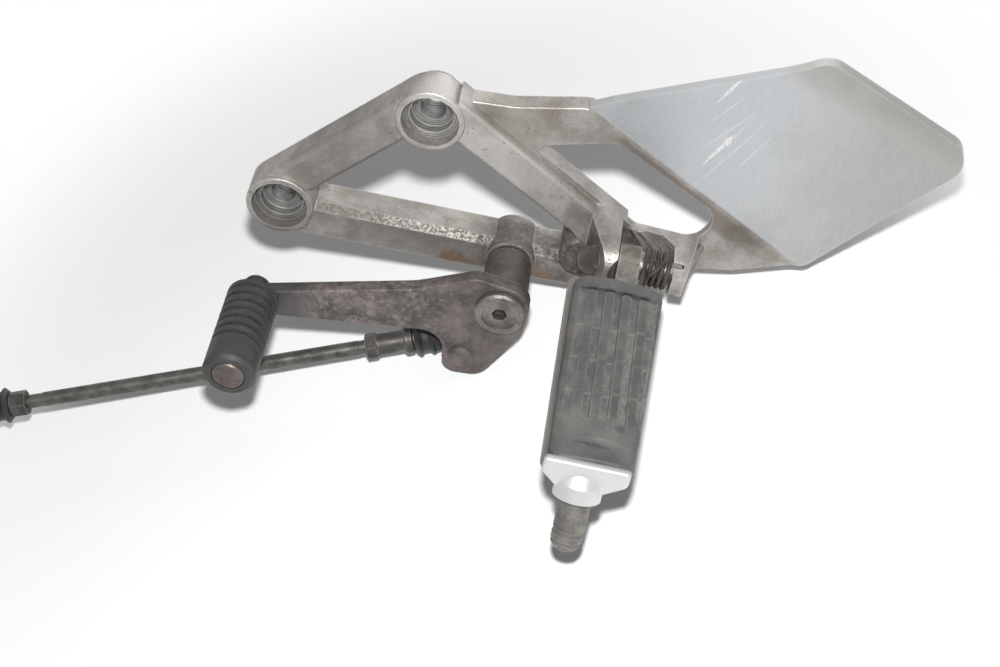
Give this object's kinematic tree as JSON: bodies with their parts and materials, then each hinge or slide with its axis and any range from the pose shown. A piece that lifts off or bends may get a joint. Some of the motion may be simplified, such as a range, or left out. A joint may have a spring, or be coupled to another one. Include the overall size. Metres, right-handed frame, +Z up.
{
  "type": "motorcycle rearset",
  "caption": "Left rider footrest hanger: cast bracket with heel guard, folding rubber-topped footpeg with feeler, gear shift lever with toe pad and ball-jointed shift rod.",
  "frame": {"origin": "midway between the two frame bolt holes, on the inner mounting face of their bosses", "axes": "+X towards the rear of the bike, +Y inward towards the frame, +Z up; the footpeg points along -Y"},
  "size_m": [0.3982, 0.1672, 0.233],
  "materials": {
    "cast_alloy": "cast, cleaned bright on the heel guard, grimy round the pivot",
    "peg_alloy": "cast, polished at the tip",
    "zinc_steel": "plated, dull",
    "bright_steel": "worn bright",
    "spring_steel": "oiled, dark",
    "worn_steel": "scuffed",
    "lever_steel": "worn dark finish with scuffs",
    "rod_steel": "dull plated",
    "joint_steel": "dull plated",
    "peg_rubber": "dusty, grooved tread",
    "toe_rubber": "grooved",
    "boot_rubber": "smooth"
  },
  "bodies": {
    "bracket": {"bracket": "cast_alloy", "pivot_bolt": "zinc_steel", "peg_pin": "zinc_steel", "pin_washer": "zinc_steel", "pin_clip": "zinc_steel", "return_spring": "spring_steel"},
    "footpeg": {"footpeg": "peg_alloy", "peg_rubber": "peg_rubber", "rubber_plate": "bright_steel", "rubber_bolts": "zinc_steel", "feeler": "worn_steel"},
    "shift_lever": {"shift_lever": "lever_steel", "toe_pin": "bright_steel", "toe_rubber": "toe_rubber", "inner_seal": "boot_rubber", "outer_seal": "boot_rubber", "rear_ball_stud": "lever_steel"},
    "link": {"link_rod": "rod_steel", "rear_joint": "joint_steel", "rear_boot": "boot_rubber", "rear_lock_nut": "joint_steel", "front_lock_nut": "joint_steel", "front_joint": "joint_steel", "front_boot": "boot_rubber"},
    "front_stud": {"front_ball_stud": "joint_steel"}
  },
  "joints": [
    {"name": "peg_fold", "type": "hinge", "parent": "bracket", "child": "footpeg", "pos_m": [0.116, -0.0325, -0.012], "axis": [-1, 0, 0], "range_deg": [0, 70], "stiffness_Nm_per_rad": 0.25, "springref_deg": -34.38, "deforming": ["return_spring"]},
    {"name": "shift_pivot", "type": "hinge", "parent": "bracket", "child": "shift_lever", "pos_m": [0.0719, -0.036, -0.0355], "axis": [0, 1, 0], "range_deg": [-12, 12]},
    {"name": "link_swing", "type": "hinge", "parent": "shift_lever", "child": "link", "pos_m": [0.0597, -0.036, -0.0653], "axis": [0, 1, 0], "range_deg": [-25, 10]},
    {"name": "front_stud_swivel", "type": "hinge", "parent": "link", "child": "front_stud", "pos_m": [-0.1483, -0.07682, -0.13773], "axis": [-0.1721, 0.9833, -0.0599], "range_deg": [-30, 30]}
  ]
}
